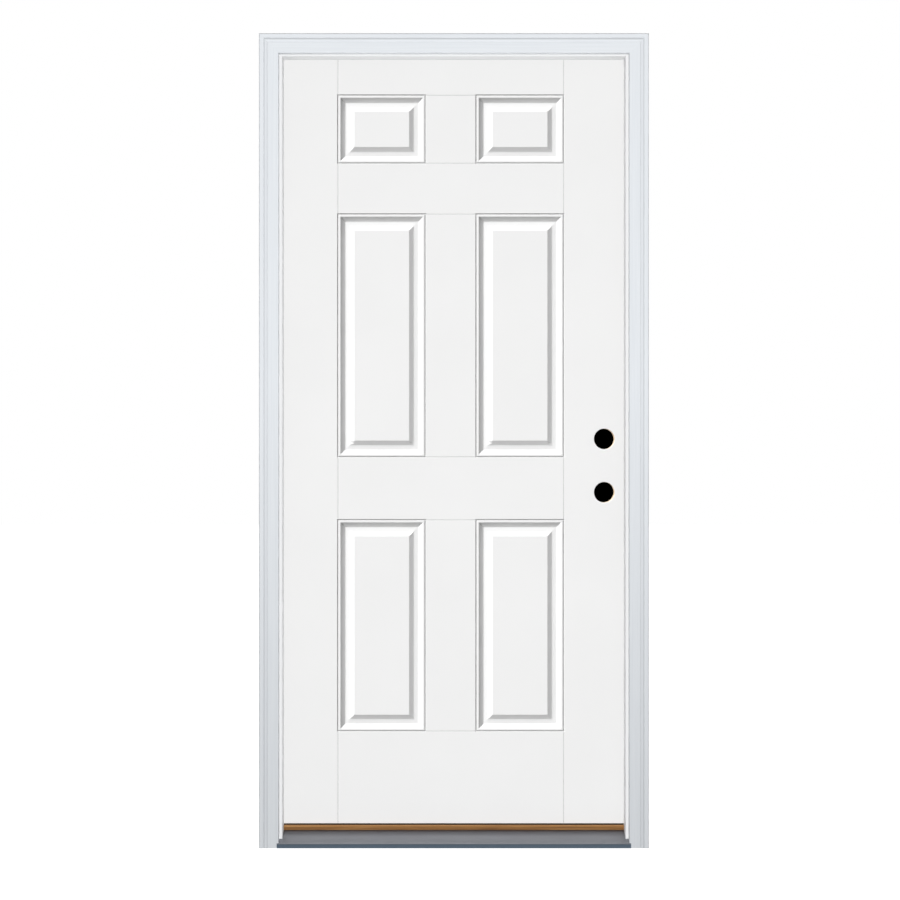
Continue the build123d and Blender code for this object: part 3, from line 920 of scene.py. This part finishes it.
def build_sweep():
    """A base under the slab, fins below it and two barbed legs above."""
    low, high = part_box("door_sweep")
    base_low = slab_lift - sweep_base_thickness
    half_width = (slab_back - slab_front) / 2 - sweep_inset
    base = [
        (slab_middle - half_width, base_low),
        (slab_middle + half_width, base_low),
        (slab_middle + half_width, slab_lift),
        (slab_middle - half_width, slab_lift),
    ]
    sections = [eased(base, leg_ease)]
    for share in fin_place_shares:
        middle = slab_middle + share * (slab_back - slab_front)
        left, right = [], []
        for step in range(fin_steps + 1):
            fall = step / fin_steps
            half = (fin_root + (fin_tip - fin_root) * fall) / 2
            bend = middle + fin_lean * fall * fall - fin_lean / 2
            height = base_low + (low.z - base_low) * fall
            left.append((bend - half, height))
            right.append((bend + half, height))
        sections.append([Vector(point) for point in left + right[::-1]])
    for offset in (-sweep_kerf_offset, sweep_kerf_offset):
        leg = barbed_leg(slab_middle + offset, slab_lift, high.z, high.z - seal_barb_height)
        sections.append(eased(leg, leg_ease))
    builder = bmesh.new()
    for section in sections:
        loft(builder, [[Vector((x, point.x, point.y)) for point in section] for x in (low.x, high.x)])
    piece("finned_sweep", builder, "door", "sweep_vinyl", "door_sweep")


# Finishes


finishes = {}


def shader_of(name):
    """The shader of a finish."""
    return finishes[name].node_tree.nodes["Principled BSDF"]


def start_finish(name):
    """Makes a new finish, kept under its name, and gives its node tree and its shader."""
    finishes[name] = bpy.data.materials.new(name)
    finishes[name].use_nodes = True
    return finishes[name].node_tree, shader_of(name)


def object_place(tree):
    """Position on the piece, in metres."""
    return tree.nodes.new("ShaderNodeTexCoord").outputs["Object"]


def grained_texture(tree, kind, grain):
    """A texture with so many features to the metre along each direction."""
    mapping = tree.nodes.new("ShaderNodeMapping")
    mapping.inputs["Scale"].default_value = grain
    texture = tree.nodes.new(kind)
    texture.inputs["Scale"].default_value = 1.0
    tree.links.new(object_place(tree), mapping.inputs["Vector"])
    tree.links.new(mapping.outputs["Vector"], texture.inputs["Vector"])
    return texture


def noise(tree, grain, detail=soft_detail):
    """Soft noise."""
    texture = grained_texture(tree, "ShaderNodeTexNoise", grain)
    texture.inputs["Detail"].default_value = detail
    return texture.outputs["Fac"]


def cells(tree, grain):
    """Distance to the nearest of many scattered points."""
    return grained_texture(tree, "ShaderNodeTexVoronoi", grain).outputs["Distance"]


def along(tree, axis, span):
    """A value that goes from 0 to 1 between two places along one axis."""
    parts = tree.nodes.new("ShaderNodeSeparateXYZ")
    tree.links.new(object_place(tree), parts.inputs[0])
    return remap(tree, parts.outputs[axis], span, whole_span)


def remap(tree, factor, span, limits):
    """Carries one range of values over to another."""
    reach = tree.nodes.new("ShaderNodeMapRange")
    reach.inputs["From Min"].default_value = span[0]
    reach.inputs["From Max"].default_value = span[1]
    reach.inputs["To Min"].default_value = limits[0]
    reach.inputs["To Max"].default_value = limits[1]
    tree.links.new(factor, reach.inputs["Value"])
    return reach.outputs["Result"]


def tones(tree, factor, colours, span=noise_span):
    """A colour that runs through several tones as a factor rises."""
    ramp = tree.nodes.new("ShaderNodeValToRGB")
    stops = ramp.color_ramp.elements
    while len(stops) < len(colours):
        stops.new(ramp_middle)
    steps = len(colours) - 1
    for index, colour in enumerate(colours):
        stops[index].position = span[0] + (span[1] - span[0]) * index / steps
        stops[index].color = (*colour, 1.0)
    tree.links.new(factor, ramp.inputs["Fac"])
    return ramp.outputs["Color"]


def grey(level):
    """A tone without a hue."""
    return (level, level, level)


def multiplied(tree, first, second):
    """One colour darkened by another."""
    mix = tree.nodes.new("ShaderNodeMix")
    mix.data_type = "RGBA"
    mix.blend_type = "MULTIPLY"
    mix.inputs["Factor"].default_value = 1.0
    tree.links.new(first, mix.inputs["A"])
    tree.links.new(second, mix.inputs["B"])
    return mix.outputs["Result"]


def shaded(tree, tone, falls):
    """Painted shade: a tone that darkens along an axis, once for each (axis, start, end, end tone)."""
    for axis, start, end, darkest in falls:
        fall = tones(tree, along(tree, axis, (start, end)), [white, darkest], whole_span)
        tone = multiplied(tree, tone, fall)
    return tone


def relief(tree, shader, factor, strength):
    """Fine relief on the surface."""
    bump = tree.nodes.new("ShaderNodeBump")
    bump.inputs["Strength"].default_value = strength
    bump.inputs["Distance"].default_value = texture_height
    tree.links.new(factor, bump.inputs["Height"])
    tree.links.new(bump.outputs["Normal"], shader.inputs["Normal"])


def painted_crevice_shade(tree, darkest):
    """Painted shade where a surface turns in on itself, darkest in the deepest crevices."""
    nook = tree.nodes.new("ShaderNodeAmbientOcclusion")
    nook.only_local = True
    nook.samples = crevice_samples
    nook.inputs["Distance"].default_value = crevice_reach
    return tones(tree, nook.outputs["AO"], [grey(darkest), white], crevice_span)


def coat(name, grain, fine_grain, colours, foot, gloss, shine, strength, crevice_shade_tone=None):
    """Paint or moulded colour: a soft mottle, with painted shade that darkens it toward the foot, and fine
    relief.
    """
    tree, shader = start_finish(name)
    mottle = tones(tree, noise(tree, grain, middle_detail), colours)
    foot_low, foot_high, foot_tone = foot
    shade = tones(tree, along(tree, "Z", (foot_low, foot_high)), [grey(foot_tone), white], whole_span)
    # Painted shade in the crevices, where a crevice tone is given
    if crevice_shade_tone:
        mottle = multiplied(tree, mottle, painted_crevice_shade(tree, crevice_shade_tone))
    tree.links.new(multiplied(tree, mottle, shade), shader.inputs["Base Color"])
    tree.links.new(remap(tree, noise(tree, grain), noise_span, gloss), shader.inputs["Roughness"])
    shader.inputs["Specular IOR Level"].default_value = shine
    relief(tree, shader, noise(tree, fine_grain), strength)


def timber(name, grain, pore_grain, colours, pore_tone, gloss):
    """Wood: long soft bands crossed by fine dark pores along the same direction."""
    tree, shader = start_finish(name)
    bands = tones(tree, noise(tree, grain, rich_detail), colours)
    pores = noise(tree, pore_grain)
    lines = tones(tree, pores, [pore_tone, white], pore_span)
    tree.links.new(multiplied(tree, bands, lines), shader.inputs["Base Color"])
    tree.links.new(remap(tree, pores, noise_span, gloss), shader.inputs["Roughness"])
    relief(tree, shader, pores, wood_relief)


def foam(name, grain, colours, gloss, strength):
    """Foam: a close grain of small cells."""
    tree, shader = start_finish(name)
    pits = cells(tree, grain)
    tree.links.new(tones(tree, pits, colours, cell_span), shader.inputs["Base Color"])
    tree.links.new(remap(tree, pits, cell_span, gloss), shader.inputs["Roughness"])
    relief(tree, shader, pits, strength)


def speckle(name, grain, colours, gloss, strength, falls=(), detail=rich_detail):
    """Moulded vinyl or composite: a fine speckle, with painted shade across the piece where falls are given.
    """
    tree, shader = start_finish(name)
    grains = noise(tree, grain, detail)
    tone = shaded(tree, tones(tree, grains, colours), falls)
    tree.links.new(tone, shader.inputs["Base Color"])
    tree.links.new(remap(tree, grains, noise_span, gloss), shader.inputs["Roughness"])
    relief(tree, shader, grains, strength)


def metal(name, grain, colours, gloss, strength, falls=()):
    """Brushed metal: streaks along one direction, with painted shade across the piece where falls are given.
    """
    speckle(name, grain, colours, gloss, strength, falls, middle_detail)
    shader_of(name).inputs["Metallic"].default_value = 1.0


def build_finishes():
    """Every finish of the door. Paint and bare wood come with an upright and a level grain."""
    deck_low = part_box("sill_deck")[0]
    cap_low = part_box("sill_cap")[0]
    nosing_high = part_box("sill_nosing")[1]
    # Painted shade: the deck darkens toward the cap and along its front lip, the nosing under the deck's lip
    deck_falls = [
        ("Y", (deck_low.y + cap_low.y) / 2, cap_low.y, deck_back_shade_tone),
        ("Y", deck_low.y + deck_nose, deck_low.y, deck_nose_shade_tone),
    ]
    nosing_falls = [("Z", nosing_high.z - nosing_shadow, nosing_high.z, nosing_shadow_tone)]
    # Painted shade toward the foot of the skin, the frame paint and the jambs
    skin_foot = (slab_lift, slab_middle_height, skin_foot_shade)
    paint_foot = (0.0, paint_foot_height, paint_foot_shade)
    jamb_foot = (0.0, paint_foot_height, jamb_foot_shade)
    coat(
        "skin", skin_grain, skin_fine_grain, skin_tones, skin_foot,
        skin_gloss, skin_shine, skin_relief, skin_crevice_shade,
    )
    coats = (("paint", paint_tones, paint_foot), ("jamb", lit_jamb_tones, jamb_foot))
    for way, grain in paint_grain.items():
        for kind, colours, foot in coats:
            coat(
                f"{kind}_{way}", grain, paint_fine_grain[way], colours, foot,
                paint_gloss, paint_shine, paint_relief,
            )
    for way, grain in edge_grain.items():
        timber(f"edge_{way}", grain, edge_pore_grain[way], edge_tones, edge_pore_tone, edge_gloss)
    timber("oak", oak_grain, oak_pore_grain, oak_tones, oak_pore_tone, oak_gloss)
    metal("sill_aluminium", deck_grain, deck_tones, deck_gloss, deck_relief, deck_falls)
    metal("hinge_steel", hinge_grain, nickel_tones, hinge_gloss, hinge_relief)
    metal("screw_steel", screw_grain, nickel_tones, screw_gloss, screw_relief)
    foam("seal_foam", seal_grain, seal_tones, seal_gloss, seal_relief)
    foam("pad_foam", pad_grain, pad_tones, foam_gloss, foam_relief)
    foam("core_foam", core_grain, core_tones, foam_gloss, foam_relief)
    speckle("sweep_vinyl", vinyl_grain, vinyl_tones, vinyl_gloss, vinyl_relief)
    speckle("slate_vinyl", slate_grain, slate_tones, slate_gloss, slate_relief, nosing_falls)
    speckle("sill_base", composite_grain, composite_tones, composite_gloss, composite_relief)


def dress_packed_parts():
    """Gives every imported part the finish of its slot, with the grain along its length."""
    slot_of = {part["node"]: part["material_slot"] for part in frame["record"]["subparts"]}
    level_parts = {"head_jamb", "brickmould_head", "top_rail", "bottom_rail"}
    # The jambs take the lighter copy of the frame paint, which is painted light
    grained = {"painted_frame": "jamb", "slab_edge": "edge"}
    for name, part in nodes.items():
        slot = slot_of[name]
        if slot in grained:
            way = "level" if name in level_parts else "upright"
            finish = finishes[f"{grained[slot]}_{way}"]
        else:
            finish = finishes[slot]
        part.data.materials.clear()
        part.data.materials.append(finish)


# Studio


def largest(tree, sockets):
    """The largest of several values."""
    result = sockets[0]
    for socket in sockets[1:]:
        larger = tree.nodes.new("ShaderNodeMath")
        larger.operation = "MAXIMUM"
        tree.links.new(result, larger.inputs[0])
        tree.links.new(socket, larger.inputs[1])
        result = larger.outputs[0]
    return result


def seen_rays(tree):
    """1 for rays that show a thing to the camera, directly or in a reflection."""
    path = tree.nodes.new("ShaderNodeLightPath")
    names = ("Is Camera Ray", "Is Glossy Ray", "Is Transmission Ray")
    return largest(tree, [path.outputs[name] for name in names])


def split_rays(tree, output, lighting, shown):
    """One shader for the rays that light the door and another for the rays that are seen."""
    mix = tree.nodes.new("ShaderNodeMixShader")
    tree.links.new(seen_rays(tree), mix.inputs["Fac"])
    tree.links.new(lighting, mix.inputs[1])
    tree.links.new(shown, mix.inputs[2])
    tree.links.new(mix.outputs[0], output.inputs["Surface"])


def background(tree, strength):
    """Even white light from all around."""
    light = tree.nodes.new("ShaderNodeBackground")
    light.inputs["Color"].default_value = (*white, 1.0)
    light.inputs["Strength"].default_value = strength
    return light.outputs[0]


def matt(tree, level):
    """A matt grey surface."""
    surface = tree.nodes.new("ShaderNodeBsdfDiffuse")
    surface.inputs["Color"].default_value = (*grey(level), 1.0)
    return surface.outputs[0]


def build_world():
    """A white surround that lights the door with less than it shows."""
    world = bpy.data.worlds.new("studio")
    bpy.context.scene.world = world
    world.use_nodes = True
    tree = world.node_tree
    tree.nodes.clear()
    output = tree.nodes.new("ShaderNodeOutputWorld")
    split_rays(tree, output, background(tree, ambient_level), background(tree, 1.0))


def staged_plane(name, corners, material):
    """A flat piece of the studio, which is no part of the door."""
    mesh = bpy.data.meshes.new(name)
    mesh.from_pydata(corners, [], [range(len(corners))])
    mesh.materials.append(material)
    linked(name, mesh)


def build_floor():
    """A floor that looks white, throws little light back and takes a soft shadow."""
    material = bpy.data.materials.new("floor")
    material.use_nodes = True
    tree = material.node_tree
    tree.nodes.clear()
    output = tree.nodes.new("ShaderNodeOutputMaterial")
    glow = tree.nodes.new("ShaderNodeEmission")
    glow.inputs["Strength"].default_value = floor_glow
    both = tree.nodes.new("ShaderNodeAddShader")
    tree.links.new(matt(tree, floor_shade), both.inputs[0])
    tree.links.new(glow.outputs[0], both.inputs[1])
    split_rays(tree, output, matt(tree, floor_bounce), both.outputs[0])
    half = floor_reach / 2
    corners = [
        (-half, -half, -floor_drop),
        (half, -half, -floor_drop),
        (half, half, -floor_drop),
        (-half, half, -floor_drop),
    ]
    staged_plane("floor", corners, material)


def build_bore_shade_card():
    """A dark card far behind the door, on the camera's line through the two bores: painted shade seen through
    them.
    """
    start_finish("dark_card")
    shader = shader_of("dark_card")
    shader.inputs["Base Color"].default_value = (*grey(0.0), 1.0)
    shader.inputs["Specular IOR Level"].default_value = 0.0
    spread = card_distance / (slab_front - camera_place.y)
    y = camera_place.y + card_distance
    left, right = [
        camera_place.x + (bore_x + side * bore_radius - camera_place.x) * spread for side in (-1, 1)
    ]
    low, high = [
        camera_place.z + (height + side * bore_radius - camera_place.z) * spread
        for height, side in zip(bore_heights, (-1, 1))
    ]
    corners = [(left, y, low), (right, y, low), (right, y, high), (left, y, high)]
    staged_plane("dark_card", corners, finishes["dark_card"])


def build_sun(name, state, turn, rise, strength, softness=0.0, shadow=False):
    """A distant lamp without a highlight, turned from the camera's side and raised from level.

    It lights the painted frame and its seals alone, or everything but those.
    """
    lamp = bpy.data.lights.new(name, "SUN")
    lamp.energy = strength
    lamp.angle = softness
    lamp.use_shadow = shadow
    made = linked(name, lamp)
    made.rotation_euler = (math.pi / 2 - rise, 0, -turn)
    made.visible_glossy = False
    painted = bpy.data.collections.new(f"{name}_frame")
    for part in painted_parts:
        painted.objects.link(part)
    for entry in painted.collection_objects:
        entry.light_linking.link_state = state
    made.light_linking.receiver_collection = painted


def build_camera():
    """A level camera that looks straight at the door."""
    data = bpy.data.cameras.new("camera")
    data.lens = camera_lens
    camera = linked("camera", data)
    camera.location = camera_place
    camera.rotation_euler = (math.pi / 2, 0, 0)
    bpy.context.scene.camera = camera


# The door in its studio
camera_place = Vector((camera_side, leg_low.y - camera_distance, camera_height))
build_finishes()
dress_packed_parts()
build_skins()
brickmould = build_brickmould()
build_hinges()
seals = build_seals()
build_pads()
build_sweep()
jambs = [nodes[name] for name in ("hinge_jamb", "strike_jamb", "head_jamb")]
painted_parts = jambs + brickmould + seals
for part in painted_parts:
    part.visible_diffuse = False
build_world()
build_floor()
build_bore_shade_card()
build_sun("key", "EXCLUDE", key_turn, key_rise, key_strength)
build_sun("front_left", "INCLUDE", front_turn, front_rise, front_strength)
build_sun("front_right", "INCLUDE", -front_turn, front_rise, front_strength)
build_sun("rear", "EXCLUDE", rear_turn, rear_rise, rear_strength)
build_sun("back_left", "INCLUDE", back_turn, back_rise, back_strength, back_softness, True)
build_sun("back_right", "INCLUDE", -back_turn, back_rise, back_strength, back_softness, True)
build_sun("top", "EXCLUDE", 0, math.pi / 2, top_strength, top_softness, True)
build_camera()
bpy.context.scene.view_settings.view_transform = "Standard"
